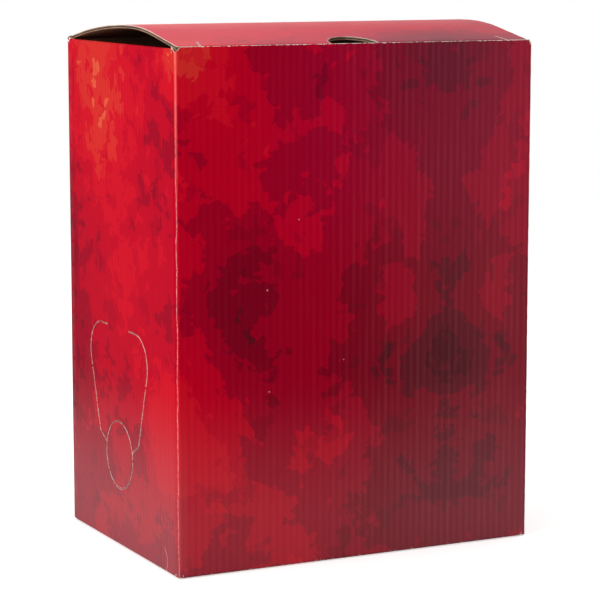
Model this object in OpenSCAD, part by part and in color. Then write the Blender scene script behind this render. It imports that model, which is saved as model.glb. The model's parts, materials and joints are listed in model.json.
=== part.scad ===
// Tuck-top carton for a five-litre bag-in-box, folded from one sheet of fluted board.
// X runs along the wide front wall, Y to the back and Z up. The origin is at the middle of the base.

/* [Carton] */
// Width of the wide front and back walls, over the outside
body_w = 189; // [150:1:280]
// Depth of the narrow side walls, over the outside
body_d = 134; // [110:1:200]
// Height of the side walls, from the ground to their top folds
body_h = 245; // [180:1:400]
// Thickness of the fluted board
board = 1.5; // [1:0.1:2.5]
// Inside radius of a pressed fold
fold_in = 0.5; // [0.2:0.1:1.5]
// Height of the front wall's cut rim over the side folds
rim_rise = 1; // [0.4:0.1:2]
// Length of wall beside each corner that has no top flap
corner_gap = 3.5; // [3:0.5:8]
// Depth of the V cut at the two front corners of the rim
corner_v = 2.6; // [1:0.1:4]

/* [Lid] */
// Clearance of the lid's side edges from the side walls' top folds
lid_gap = 0.2; // [0.2:0.1:3]
// Rise of the bowed lid over its two creases
lid_rise = 7.6; // [4:0.1:12]
// Distance of the bow's highest line from the front wall's outer face
lid_crown = 58; // [42:1:70]
// Length of the straight ramp behind the lid's front crease
lid_ramp = 25; // [5:1:34]
// Depth of the lid's creases below the level of the side folds
lid_seat = 0.15; // [0:0.05:0.3]
// Gap between the lid and what it turns past
running_gap = 0.3; // [0.2:0.05:0.6]
// Radius of the thumb notch on the lid's front crease
notch_r = 12.4; // [8:0.1:16]
// Sideways place of the thumb notch from the middle of the lid
notch_x = -1.7; // [-20:0.1:20]

/* [Tuck flap] */
// Length of the tuck flap below the lid's front crease
tuck_l = 28; // [18:1:45]
// Angle that the tuck flap leans in over what its swing needs
ease_angle = 1.5; // [0.5:0.1:5]
// Radius of the tuck flap's lower corners
tuck_r = 12; // [4:1:16]
// Length of the slit lock that frees each end of the front crease
slit_l = 11.5; // [6:0.5:20]
// Width of the slit lock
slit_w = 0.6; // [0.4:0.1:1.5]
// Length of the nick at the inner end of each slit
nick_l = 7; // [3:0.5:10]
// Width of the nick
nick_w = 0.6; // [0.4:0.1:1.5]
// Turn of the nick from straight back
nick_turn = 12; // [0:1:30]

/* [Dust flaps] */
// Length of each dust flap from its side wall's outer face
dust_l = 62; // [30:1:72]
// Clearance between the dust flaps and the swinging tuck flap
dust_clear = 1.5; // [1:0.1:6]
// Distance of the dust flap's rear edge from the back wall's outer face
dust_back = 6; // [5:0.5:15]
// Taper of the dust flap's front and rear edges at the free end
dust_taper = 8; // [0:0.5:16]
// Radius of the dust flap's free corners
dust_r = 9; // [3:1:14]
// Angle that each dust flap hangs below level
sag_angle = 22; // [5:1:35]

/* [Tap port] */
// Height of the centre of the press-in disc above the ground
port_h = 45.5; // [35:0.5:80]
// Place of the port behind the middle of the side wall
port_y = 3.5; // [-10:0.5:10]
// Radius of the press-in disc
disc_r = 16.5; // [12:0.5:20]
// Height of the tongue's uncut top fold above the disc's centre
tongue_l = 62.8; // [50:0.1:90]
// Greatest width of the tongue
tongue_w = 72; // [60:1:84]
// Width of the tongue where it turns in to the disc
tongue_neck = 48.5; // [42:0.5:56]
// Radius of the tongue's top corners
tongue_r = 15; // [8:0.5:20]
// Slant of the tongue's sides from upright
tongue_slant = 17.5; // [14:0.5:22]
// Length of the tongue's uncut top fold
tongue_fold = 27; // [10:1:32]
// Width of the cut lines
cut_w = 0.5; // [0.4:0.1:1]
// Length of the uncut ties that hold the port shut
tie_l = 1.4; // [0.6:0.1:3]

/* [Glue seam] */
// Width of the glue flap inside the back wall
glue_w = 28; // [15:1:40]
// Slope of the glue flap's two ends
glue_slope = 8; // [2:1:15]

/* [Crash-lock bottom] */
// Length by which each bottom fold stops short of the corner folds
corner_open = 0.8; // [0.4:0.1:2]
// Distance of the bottom seam from the middle line, to either side
seam_step = 6; // [2:0.5:12]
// Gap between the two meeting bottom flaps
seam_gap = 0.5; // [0.3:0.1:1.5]
// Half length of the slanted middle stretch of the seam
seam_slant = 5; // [2:0.5:10]
// Reach of a locking tongue past the middle line
lock_reach = 16; // [8:1:24]
// Distance of a locking tongue's outer end from the middle of the carton
lock_w = 44; // [20:1:60]
// Length over which a bottom flap rises by one board
ply_ramp = 7; // [5:0.5:14]
// Air between two plies that are not glued
ply_gap = 0.2; // [0.1:0.05:0.4]
// Distance of the long bottom flaps' ends from the side walls' outer faces
end_cut = 12; // [11:0.5:20]
// Length of the short bottom flaps from the side walls' outer faces
minor_l = 46; // [30:1:60]

/* [Hidden] */
EPS = 0.01;
ARC_STEPS = 6;
BOW_STEPS = 14;
print_red = "firebrick";

fold_out = fold_in + board;
half_w = body_w / 2;
half_d = body_d / 2;
rim_z = body_h + rim_rise;

// The lid's hinge line lies in the middle of the board, over the back wall
hinge_y = half_d - board / 2;
hinge_z = body_h + board / 2 - lid_seat;
back_top_z = hinge_z - board / 2 - running_gap;

// The tuck flap's outer face starts behind the front wall and leans in as far as its swing needs
tuck_face_y = -half_d + board + running_gap;
tuck_lean = asin(tuck_l / (hinge_y - tuck_face_y)) / 2 + ease_angle;
crease_r = fold_in + board / 2;
crease_y = tuck_face_y + fold_out;
crown_y = -half_d + lid_crown;
ramp_y = crease_y + lid_ramp;
ramp_slope = 2 * lid_rise / (crown_y - crease_y + lid_ramp);
ramp_angle = atan(ramp_slope);
crease_z = hinge_z - ramp_slope * crease_r * sin(ramp_angle) - crease_r * cos(ramp_angle);
lid_half = half_w - fold_out - lid_gap;
slit_x = lid_half - slit_l;
tab_y = tuck_face_y + slit_w / 2;

dust_front_y = tuck_face_y + board + tuck_l * tan(tuck_lean) / 2 + dust_clear;
dust_rear_y = half_d - dust_back;

join_angle = 14;

// Points along an arc, from angle a0 to angle a1
function arc(c, r, a0, a1, n = ARC_STEPS) =
    [for (i = [0:n]) let (a = a0 + (a1 - a0) * i / n) c + r * [cos(a), sin(a)]];

// Points of a rectangle with round corners
function round_rect(w, d, r) =
    let (x = w / 2 - r, y = d / 2 - r)
    concat(arc([x, y], r, 0, 90), arc([-x, y], r, 90, 180),
           arc([-x, -y], r, 180, 270), arc([x, -y], r, 270, 360));

// Unit direction of a path at point i
function heading(p, i) =
    let (a = p[max(i - 1, 0)], b = p[min(i + 1, len(p) - 1)])
    (b - a) / norm(b - a);

// One edge of a strip that follows a path at distance h to its left
function edge(p, h) =
    [for (i = [0:len(p) - 1]) let (t = heading(p, i)) p[i] + h * [-t[1], t[0]]];

function reversed(p) = [for (i = [len(p) - 1:-1:0]) p[i]];

// Outline of a strip of the given thickness along an open path
function strip(p, thick) = concat(edge(p, thick / 2), reversed(edge(p, -thick / 2)));

// Height of the lid's middle ply over its creases: a straight ramp, then two parabolas
function bow(y) =
    y > crown_y ? lid_rise * (1 - pow((y - crown_y) / (hinge_y - crown_y), 2)) :
    y > ramp_y ? lid_rise - ramp_slope * pow(crown_y - y, 2) / (2 * (crown_y - ramp_y)) :
    ramp_slope * (y - crease_y);

function bow_points(from_y, to_y) =
    [for (i = [0:BOW_STEPS]) let (y = from_y + (to_y - from_y) * i / BOW_STEPS) [y, hinge_z + bow(y)]];

// The lid's middle ply in the YZ plane, from its front end back to the hinge line
panel_line = concat(bow_points(ramp_y, crown_y), [for (i = [1:BOW_STEPS])
    bow_points(crown_y, hinge_y)[i]]);
crease_line = [for (i = [0:ARC_STEPS]) let (a = 90 + tuck_lean + (ramp_angle - 90 - tuck_lean) * i / ARC_STEPS)
    [crease_y - crease_r * sin(a), crease_z + crease_r * cos(a)]];
tuck_dir = [sin(tuck_lean), -cos(tuck_lean)];
tuck_end = crease_line[0] + tuck_dir * (tuck_l - fold_out);

// An outline in the YZ plane, drawn out along X
module along_x(points, x0, x1) {
    translate([x0, 0, 0]) rotate([90, 0, 90]) linear_extrude(x1 - x0) polygon(points);
}

// An outline in the XZ plane, drawn out along Y
module along_y(points, y0, y1) {
    translate([0, y1, 0]) rotate([90, 0, 0]) linear_extrude(y1 - y0) polygon(points);
}

// A flat piece of board, one ply thick, with its lower face at height z
module ply(points, z) {
    translate([0, 0, z]) linear_extrude(board) polygon(points);
}

// Quarter ring of a pressed fold, in the plane of its section, about centre c
function fold_ring(c, a0) = concat(arc(c, fold_out, a0, a0 + 90), arc(c, fold_in, a0 + 90, a0));

// The fold ring of a dust flap, which bends on past level by the sag angle
function sag_ring(c) =
    let (more_out = arc(c, fold_out, 90 - sag_angle, 90), more_in = arc(c, fold_in, 90, 90 - sag_angle))
    concat([for (i = [0:ARC_STEPS - 1]) more_out[i]], fold_ring(c, 90), [for (i = [1:ARC_STEPS]) more_in[i]]);

// The four upright walls with their rounded corner folds
module walls() {
    side_run = half_d - corner_gap;
    difference() {
        translate([0, 0, fold_out]) linear_extrude(rim_z - fold_out) difference() {
            polygon(round_rect(body_w, body_d, fold_out));
            polygon(round_rect(body_w - 2 * board, body_d - 2 * board, fold_in));
        }
        // The side walls end where their dust flaps fold over
        translate([-half_w - 1, -side_run, body_h - fold_out]) cube([body_w + 2, 2 * side_run, fold_out + rim_rise + 1]);
        // The back wall and the rear corners end below the lid's hinge line
        translate([-half_w - 1, half_d - corner_gap - EPS, back_top_z - board / 2])
            cube([body_w + 2, corner_gap + 1, rim_z - back_top_z + board]);
        for (side = [-1, 1]) corner_vee(side);
        tap_port_cuts();
    }
    back_wall_top();
}

// Rounded top of the back wall, which lets the lid turn over it
module back_wall_top() {
    top = arc([hinge_y, back_top_z - board / 2], board / 2, 0, 180);
    foot_z = back_top_z - board;
    along_x(concat(top, [[hinge_y - board / 2, foot_z], [hinge_y + board / 2, foot_z]]),
            -half_w + fold_out, half_w - fold_out);
}

// V cut that bares the board at a front corner of the rim
module corner_vee(side) {
    vee = [[-corner_gap, rim_z + rim_rise], [0, rim_z - corner_v], [corner_gap, rim_z + rim_rise]];
    translate([side * half_w, -half_d, 0]) rotate([0, 0, side * 45]) rotate([90, 0, 0])
        linear_extrude(4 * fold_out, center = true) polygon(vee);
}

// A dust flap that hangs from its fold at the top of a side wall
module dust_flap() {
    run = half_d - corner_gap;
    fold_x = -half_w + fold_out;
    reach = dust_l - fold_out;
    front = dust_front_y + dust_taper;
    rear = dust_rear_y - dust_taper;
    along_y(fold_ring([fold_x, body_h - fold_out], 90), -run, run);
    along_y(sag_ring([fold_x, body_h - fold_out]), dust_front_y, dust_rear_y);
    translate([fold_x, 0, body_h - fold_out]) rotate([0, sag_angle, 0])
        ply(concat([[-EPS, dust_front_y]],
                   arc([reach - dust_r, front + dust_r], dust_r, -85, 0),
                   arc([reach - dust_r, rear - dust_r], dust_r, 0, 85),
                   [[-EPS, dust_rear_y]]), fold_in);
}

// Centre line of one side of the tongue cut: top corner, slanted side and turn-in to the disc
function tongue_side(s) =
    let (corner = [tongue_w / 2 - tongue_r, tongue_l - tongue_r],
         curve = arc(corner, tongue_r, 90, -tongue_slant, 2 * ARC_STEPS),
         low = curve[2 * ARC_STEPS],
         neck = [tongue_neck / 2, low[1] - (low[0] - tongue_neck / 2) / tan(tongue_slant)],
         ends = [[tongue_fold / 2, tongue_l], neck, disc_r * [cos(join_angle), sin(join_angle)]],
         line = concat([ends[0]], curve, [ends[1], ends[2]]))
    [for (p = line) [s * p[0], p[1]]];

// Cut lines of the tap port in the YZ plane, about the disc's centre, less the ties
module port_pattern() {
    slope_y = (tongue_w + tongue_neck) / 4;
    difference() {
        union() {
            for (s = [-1, 1]) polygon(strip(tongue_side(s), cut_w));
            difference() {
                circle(disc_r + cut_w / 2, $fn = 64);
                circle(disc_r - cut_w / 2, $fn = 64);
            }
        }
        for (s = [-1, 1], z = [0.35, 0.62]) translate([s * slope_y, tongue_l * z]) square([tongue_r, tie_l], center = true);
        for (a = [35:72:323]) rotate(a) translate([disc_r, 0]) square([4 * cut_w, tie_l], center = true);
    }
}

// The tap port is cut right through the left side wall
module tap_port_cuts() {
    translate([-half_w - 1, port_y, port_h]) rotate([90, 0, 90]) linear_extrude(board + 2) port_pattern();
}

// Glue flap of the maker's seam, inside the back wall at the right
module glue_flap() {
    x1 = half_w - board;
    x0 = x1 - glue_w;
    low = fold_out + 2 * board;
    top = body_h - 2 * board;
    seam = [[x0, low + glue_slope], [x1, low], [x1, top], [x0, top - glue_slope]];
    along_y(seam, half_d - 2 * board, half_d - board + EPS);
}

// A long bottom flap: its fold, its ply and the tongue that locks over the other long flap
module long_bottom_flap() {
    fold_y = -half_d + fold_out;
    left = -half_w + end_cut;
    right = half_w - end_cut;
    seam = seam_gap / 2;
    lock_y = -seam_step - ply_ramp;
    taper = seam_step;
    along_x(fold_ring([fold_y, fold_out], 180), -half_w + fold_out + corner_open, half_w - fold_out - corner_open);
    ply([[left, fold_y - EPS], [right, fold_y - EPS], [right - taper, -seam_step - seam],
         [lock_w, -seam_step - seam], [lock_w, lock_y], [seam_slant, lock_y],
         [seam_slant, -seam_step - seam], [-seam_slant, seam_step - seam],
         [left + taper, seam_step - seam]], 0);
    // The tongue rises by one board and reaches over the other flap
    rise = board + ply_gap;
    tongue_line = [[lock_y - ply_ramp / 2, board / 2], [lock_y, board / 2],
                   [lock_y + ply_ramp, rise + board / 2], [lock_reach, rise + board / 2]];
    intersection() {
        along_x(strip(tongue_line, board), seam_slant, lock_w);
        linear_extrude(4 * board) polygon([[seam_slant, lock_y - ply_ramp], [lock_w, lock_y - ply_ramp],
            [lock_w, seam_step], [lock_w - lock_reach / 2, lock_reach], [2 * seam_slant, lock_reach],
            [seam_slant, seam_step]]);
    }
}

// A short bottom flap: it is glued on one long flap and ends in a slanted edge over the other
module short_bottom_flap() {
    fold_x = -half_w + fold_out;
    tip_x = -half_w + minor_l;
    run = half_d - fold_out - corner_open;
    ramp_x = fold_x + board;
    rise_line = [[fold_x - EPS, board / 2], [ramp_x, board / 2], [ramp_x + ply_ramp, 1.5 * board],
                 [tip_x, 1.5 * board]];
    along_y(fold_ring([fold_x, fold_out], 180), -run, run);
    intersection() {
        along_y(strip(rise_line, board), -half_d, half_d);
        linear_extrude(4 * board) polygon([[fold_x - board, -run], [fold_x + ply_ramp, -run + corner_open],
            [tip_x - ply_ramp, -run + ply_ramp], [tip_x, -run + 2 * ply_ramp], [tip_x, -seam_step],
            [fold_x + end_cut, run - board], [fold_x - board, run]]);
    }
}

module bottom() {
    for (turn = [0, 180]) rotate([0, 0, turn]) {
        long_bottom_flap();
        short_bottom_flap();
    }
}

// The folded and glued sheet, apart from the lid that swings
module carton() {
    color(print_red) union() {
        walls();
        dust_flap();
        mirror([1, 0, 0]) dust_flap();
        glue_flap();
        bottom();
    }
}

// Half-round cutters that make one round hole in the unfolded sheet
module thumb_notch() {
    translate([notch_x, tab_y, crease_z]) cylinder(h = body_h, r = notch_r, $fn = 64);
    flap_depth = board / cos(tuck_lean) + notch_r * tan(tuck_lean);
    translate([notch_x, tuck_face_y - 1, hinge_z]) rotate([-90, 0, 0])
        cylinder(h = flap_depth + 1, r = notch_r, $fn = 64);
}

// Short cut that runs back into the lid from the inner end of a slit
module nick(side) {
    translate([side * slit_x, tuck_face_y - 1, crease_z]) rotate([0, 0, side * nick_turn])
        translate([-nick_w / 2, 0, 0]) cube([nick_w, nick_l + fold_out, 2 * lid_rise]);
}

// Cutter that rounds a lower corner of the tuck flap
module tuck_corner(side) {
    low_z = tuck_end[1] - board;
    translate([side * (lid_half - tuck_r), tuck_face_y - 1, low_z + board + tuck_r]) rotate([-90, 0, 0])
        linear_extrude(tuck_l) difference() {
            translate([side * (tuck_r + 1) / 2, tuck_r / 2 + 1]) square([tuck_r + 1, tuck_r + 2], center = true);
            circle(tuck_r, $fn = 64);
        }
}

// The bowed lid panel, its front crease and the tuck flap, with the slit locks cut free
module lid() {
    middle = concat([tuck_end], crease_line, panel_line);
    tab_line = concat([[tab_y, hinge_z + bow(tab_y)]], panel_line);
    shoulder = [tuck_end, crease_line[0] + tuck_dir * slit_w];
    color(print_red) difference() {
        union() {
            along_x(strip(middle, board), -slit_x, slit_x);
            for (side = [-1, 1]) {
                x0 = side > 0 ? slit_x - EPS : -lid_half;
                along_x(strip(tab_line, board), x0, x0 + slit_l + EPS);
                along_x(strip(shoulder, board), x0, x0 + slit_l + EPS);
            }
            // Round end on the hinge line
            translate([-lid_half, hinge_y, hinge_z]) rotate([0, 90, 0]) cylinder(h = 2 * lid_half, d = board, $fn = 32);
        }
        thumb_notch();
        for (side = [-1, 1]) {
            nick(side);
            tuck_corner(side);
        }
    }
}

carton();
lid();
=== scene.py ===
import json
import math

import bpy
import numpy as np
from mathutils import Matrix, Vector
from mathutils.geometry import delaunay_2d_cdt


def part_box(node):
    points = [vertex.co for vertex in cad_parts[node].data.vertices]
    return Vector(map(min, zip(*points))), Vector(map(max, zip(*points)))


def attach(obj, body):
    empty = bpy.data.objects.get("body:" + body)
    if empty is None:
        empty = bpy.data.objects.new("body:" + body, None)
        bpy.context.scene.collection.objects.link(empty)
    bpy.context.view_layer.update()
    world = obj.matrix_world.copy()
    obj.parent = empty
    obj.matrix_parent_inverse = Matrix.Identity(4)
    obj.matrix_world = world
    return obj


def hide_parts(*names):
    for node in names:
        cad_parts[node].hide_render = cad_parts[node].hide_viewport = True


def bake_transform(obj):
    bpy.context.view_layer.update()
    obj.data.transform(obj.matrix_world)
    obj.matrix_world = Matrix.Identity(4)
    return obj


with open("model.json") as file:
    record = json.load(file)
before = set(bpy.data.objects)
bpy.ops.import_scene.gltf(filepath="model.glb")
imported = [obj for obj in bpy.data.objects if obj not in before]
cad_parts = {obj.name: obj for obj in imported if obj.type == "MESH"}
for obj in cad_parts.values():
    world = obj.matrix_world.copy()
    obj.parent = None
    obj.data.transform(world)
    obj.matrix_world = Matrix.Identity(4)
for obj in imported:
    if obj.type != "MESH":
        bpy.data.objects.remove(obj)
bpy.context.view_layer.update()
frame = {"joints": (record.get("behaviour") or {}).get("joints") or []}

# Sizes are in millimetres, and MM turns them into metres where a mesh is made.
# X runs along the wide front wall, Y to the back and Z up, as in the frame.
MM = 0.001
carton_low, carton_high = (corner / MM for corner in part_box("carton"))
lid_low, lid_high = (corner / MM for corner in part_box("lid"))
hinge = Vector(frame["joints"][0]["pos_m"]) / MM

# The fluted board and its pressed folds
BOARD = 1.5
LINER = 0.3
FOLD_OUT = BOARD + 0.5
FOLD_ARC = FOLD_OUT * math.pi / 2
FLUTE_PITCH = 3.5
WASHBOARD = 0.03
RIM_RISE = 1.0

# Width of the frayed liner beside a cut, and the burr that the knife leaves on it
FRAY = 0.45
BURR = 0.06

# Material slots down a cut edge, from the outer face to the inner one, with the fluting in a recess whose
# floors (slot 5) are painted dark as shade
RECESS = 0.4
EDGE_KINDS = (2, 2, 5, 3, 3, 3, 5, 4, 4)

# Spacing of mesh points along the cut edges, and of their rows up the flutes
CARTON_EDGE = 1.05
CARTON_ROW = 12.0
LID_EDGE = 0.8
LID_ROW = 5.0
GLUE_EDGE = 0.9
GLUE_ROW = 8.0

HALF_W = carton_high.x
HALF_D = carton_high.y
RIM_Z = carton_high.z
TOP_Z = RIM_Z - RIM_RISE
FLAT_X = HALF_W - FOLD_OUT
FLAT_Y = HALF_D - FOLD_OUT
HINGE_GAP = 0.3
BACK_TOP_Z = hinge.z - BOARD / 2 - HINGE_GAP

# Stations along the sheet's outer face, from the middle of the front left corner fold
LEFT_START = -FOLD_ARC / 2 - 2 * FLAT_Y
FRONT_START = FOLD_ARC / 2
RIGHT_START = FRONT_START + 2 * FLAT_X + FOLD_ARC
BACK_START = RIGHT_START + 2 * FLAT_Y + FOLD_ARC
SEAM_LOW = LEFT_START - FOLD_ARC / 2
SEAM_HIGH = BACK_START + 2 * FLAT_X + FOLD_ARC / 2
FRONT_MIDDLE = FRONT_START + FLAT_X
CORNERS = (0.0, RIGHT_START - FOLD_ARC / 2, BACK_START - FOLD_ARC / 2)

# Top edge: corner columns with their V cuts, and the dust flaps
COLUMN = 3.5
V_DEPTH = 2.6
SLIT = 0.2
DUST_LENGTH = 62.0
DUST_FRONT = -60.3
DUST_REAR = 61.0
DUST_TAPER = 8.0
DUST_ROUND = 9.0
DUST_SAG = math.radians(22.0)
DUST_ARC = FOLD_OUT * (math.pi / 2 + DUST_SAG)

# Crash-lock bottom
CORNER_OPEN = 0.8
CORNER_FOOT = 0.6
END_CUT = 12.0
SEAM_STEP = 6.0
SEAM_GAP = 0.5
SEAM_SLANT = 5.0
LOCK_REACH = 16.0
LOCK_WIDTH = 44.0
PLY_RAMP = 7.0
PLY_GAP = 0.2
MINOR_LENGTH = 46.0
GLUE_WIDTH = 28.0
GLUE_SLOPE = 8.0

# Tap port in the left wall
PORT_Y = 3.5
PORT_Z = 45.5
DISC_R = 16.5
TONGUE_TOP = 62.8
TONGUE_WIDTH = 72.0
TONGUE_NECK = 48.5
TONGUE_ROUND = 15.0
TONGUE_SLANT = 17.5
TONGUE_FOLD = 27.0
CUT = 0.5
TIE = 1.4
TIE_HEIGHTS = (0.35, 0.62)
TIE_ANGLES = (35, 107, 179, 251, 323)
NECK_ANGLE = 14.0

# Lid, seen in its YZ section
LID_HALF = lid_high.x
LID_RISE = lid_high.z - BOARD / 2 - hinge.z
CROWN_Y = -HALF_D + 58.0
TUCK_FACE_Y = -HALF_D + BOARD + 0.3
TUCK_LENGTH = 28.0
TUCK_ROUND = 12.0
CREASE_R = FOLD_OUT - BOARD / 2
CREASE_Y = TUCK_FACE_Y + FOLD_OUT
RAMP_LENGTH = 25.0
RAMP_Y = CREASE_Y + RAMP_LENGTH
RAMP_SLOPE = 2 * LID_RISE / (CROWN_Y - CREASE_Y + RAMP_LENGTH)
RAMP_ANGLE = math.atan(RAMP_SLOPE)
TUCK_LEAN = math.asin(TUCK_LENGTH / (hinge.y - TUCK_FACE_Y)) / 2 + math.radians(1.5)
CREASE_Z = hinge.z - RAMP_SLOPE * CREASE_R * math.sin(RAMP_ANGLE) - CREASE_R * math.cos(RAMP_ANGLE)
SLIT_LOCK = 11.5
SLIT_WIDTH = 0.6
SLIT_X = LID_HALF - SLIT_LOCK
NICK_LENGTH = 7.0
NICK_WIDTH = 0.6
NICK_TURN = math.radians(12.0)
NOTCH_R = 12.4
NOTCH_X = -1.7


# Flat blank

def polar(centre, radius, start, end, steps=8):
    """Points of an arc, with its angles in degrees."""
    angles = np.radians(np.linspace(start, end, steps + 1))
    return [(centre[0] + radius * math.cos(a), centre[1] + radius * math.sin(a)) for a in angles]


def resample(loop, spacing):
    """The closed loop with points no further apart than spacing."""
    points = []
    for a, b in zip(loop, loop[1:] + loop[:1]):
        length = math.dist(a, b)
        count = max(1, math.ceil(length / spacing))
        points += [(a[0] + (b[0] - a[0]) * i / count, a[1] + (b[1] - a[1]) * i / count) for i in range(count)]
    return points


def inside(points, loop):
    """Even-odd test of many points against one closed loop."""
    x, y = points[:, 0], points[:, 1]
    result = np.zeros(len(points), bool)
    for (x0, y0), (x1, y1) in zip(loop, loop[1:] + loop[:1]):
        if y0 == y1:
            continue
        crosses = (y0 > y) != (y1 > y)
        result ^= crosses & (x < (x1 - x0) * (y - y0) / (y1 - y0) + x0)
    return result


def clearance(points, loops):
    """Distance of many points from the nearest side of the loops."""
    nearest = np.full(len(points), 1e9)
    for loop in loops:
        for a, b in zip(loop, loop[1:] + loop[:1]):
            a, b = np.array(a), np.array(b)
            along = b - a
            length = along @ along
            if length == 0:
                continue
            t = np.clip((points - a) @ along / length, 0, 1)
            gap = points - a - t[:, None] * along
            nearest = np.minimum(nearest, np.hypot(gap[:, 0], gap[:, 1]))
    return nearest


def cut_blank(outline, holes, lattice, edge_spacing):
    """Triangles of a flat blank: points, triangles and its cut edges, each with the board on its left."""
    loops = [outline] + holes

    def on_board(places, room):
        keep = inside(places, outline) & (clearance(places, loops) > room)
        for hole in holes:
            keep &= ~inside(places, hole)
        return places[keep]

    points, sides = [], []
    for loop in loops:
        ring = resample(loop, edge_spacing)
        first = len(points)
        points += ring
        sides += [(first + i, first + (i + 1) % len(ring)) for i in range(len(ring))]
    rim_count = len(points)
    beside = []
    for loop in loops:
        ring = np.array(resample(loop, edge_spacing))
        way = np.roll(ring, -1, 0) - ring
        middle = ring + way / 2
        way /= np.maximum(np.linalg.norm(way, axis=1), 1e-9)[:, None]
        off = np.stack([-way[:, 1], way[:, 0]], 1) * FRAY
        beside += [middle + off, middle - off]
    beside = on_board(np.concatenate(beside), 0.9 * FRAY)
    points += [tuple(p) for p in np.concatenate([beside, on_board(lattice, FRAY + 0.4 * edge_spacing)])]
    made = delaunay_2d_cdt([Vector(p) for p in points], sides, [], 0, 1e-5)
    flat = np.array([tuple(p) for p in made[0]])
    origin = np.array([min(o) if o else 0 for o in made[3]])
    triangles = np.array([tuple(t) for t in made[2]])
    doubtful = (origin[triangles] < rim_count).all(1)
    centres = flat[triangles[doubtful]].mean(1)
    good = inside(centres, outline)
    for hole in holes:
        good &= ~inside(centres, hole)
    chosen = ~doubtful
    chosen[np.flatnonzero(doubtful)[good]] = True
    triangles = triangles[chosen]
    a, b, c = (flat[triangles[:, i]] for i in range(3))
    area = (b[:, 0] - a[:, 0]) * (c[:, 1] - a[:, 1]) - (b[:, 1] - a[:, 1]) * (c[:, 0] - a[:, 0])
    triangles[area < 0] = triangles[area < 0][:, ::-1]
    triangles = triangles[np.abs(area) > 1e-9]
    ends = np.concatenate([triangles[:, [0, 1]], triangles[:, [1, 2]], triangles[:, [2, 0]]])
    code = ends[:, 0].astype(np.int64) * len(flat) + ends[:, 1]
    back = ends[:, 1].astype(np.int64) * len(flat) + ends[:, 0]
    rims = ends[~np.isin(code, back)]
    return flat, triangles, rims


def edge_rows(phase):
    """Shares of the board and depths behind the cut, for the rows of a cut edge."""
    wave = 0.5 + 0.2 * np.sin(phase)
    low, high = LINER / BOARD, 1 - LINER / BOARD
    fractions = [0 * wave + low * 0.9, 0 * wave + low, wave - 0.13, wave - 0.08,
                 wave + 0.08, wave + 0.13, 0 * wave + high, 0 * wave + high + low * 0.1]
    depths = [0.03, RECESS, RECESS, 0.08, 0.08, RECESS, RECESS, 0.03]
    return fractions, depths


def fold_up(name, blank, place, print_map, open_edge=None, relief=None):
    """Folds a flat blank into a closed sheet of fluted board with a printed and a bare face."""
    flat, triangles, rims = blank
    count = len(flat)
    outer, normal = place(flat)
    swell = washboard(flat)
    if relief is not None:
        swell = swell + relief(flat)
    outer_face = outer + normal * swell[:, None]
    inner_face = outer - normal * (BOARD - 0.5 * washboard(flat))[:, None]
    if open_edge is not None:
        rims = rims[~(open_edge(flat[rims[:, 0]]) & open_edge(flat[rims[:, 1]]))]
    rim_points = np.unique(rims)
    rim_s, rim_v = flat[rim_points].T
    burr = np.sin(3.1 * rim_s + 2.3 * rim_v) * np.sin(1.7 * rim_v - 0.9 * rim_s)
    outer_face[rim_points] += normal[rim_points] * (BURR * (0.4 + burr))[:, None]
    way = np.zeros((count, 2))
    step = flat[rims[:, 1]] - flat[rims[:, 0]]
    step /= np.maximum(np.linalg.norm(step, axis=1), 1e-9)[:, None]
    turned = np.stack([-step[:, 1], step[:, 0]], 1)
    np.add.at(way, rims[:, 0], turned)
    np.add.at(way, rims[:, 1], turned)
    way = way[rim_points]
    way /= np.maximum(np.linalg.norm(way, axis=1), 1e-9)[:, None]
    rim_flat = flat[rim_points]
    fractions, depths = edge_rows(2 * math.pi * rim_flat[:, 0] / FLUTE_PITCH)
    rows = []
    for fraction, depth in zip(fractions, depths):
        p, n = place(rim_flat + way * depth)
        rows.append(p - n * (BOARD * fraction)[:, None])
    verts = np.concatenate([outer_face, inner_face] + rows)
    sheet = np.concatenate([flat, flat] + [rim_flat] * len(rows))
    cut = np.ones(len(verts))
    cut[:2 * count] = 0
    cut[rim_points] = 1
    index = np.full(count, -1)
    index[rim_points] = np.arange(len(rim_points))
    ladder = [np.arange(count)[rim_points]]
    ladder += [2 * count + k * len(rim_points) + np.arange(len(rim_points)) for k in range(len(rows))]
    ladder += [count + np.arange(count)[rim_points]]
    a, b = index[rims[:, 0]], index[rims[:, 1]]
    quads, quad_kind = [], []
    for k in range(len(ladder) - 1):
        quads.append(np.stack([ladder[k][b], ladder[k][a], ladder[k + 1][a], ladder[k + 1][b]], 1))
        quad_kind += [EDGE_KINDS[k]] * len(rims)
    quads = np.concatenate(quads)
    inner_triangles = triangles[:, ::-1] + count
    faces = [tuple(t) for t in triangles] + [tuple(t) for t in inner_triangles] + [tuple(q) for q in quads]
    kinds = [0] * len(triangles) + [1] * len(triangles) + quad_kind
    return make_mesh(name, verts, faces, kinds, print_map(sheet), cut)


def washboard(flat):
    """Height of the outer liner over the flutes."""
    return WASHBOARD * np.cos(2 * math.pi * flat[:, 0] / FLUTE_PITCH)


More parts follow.
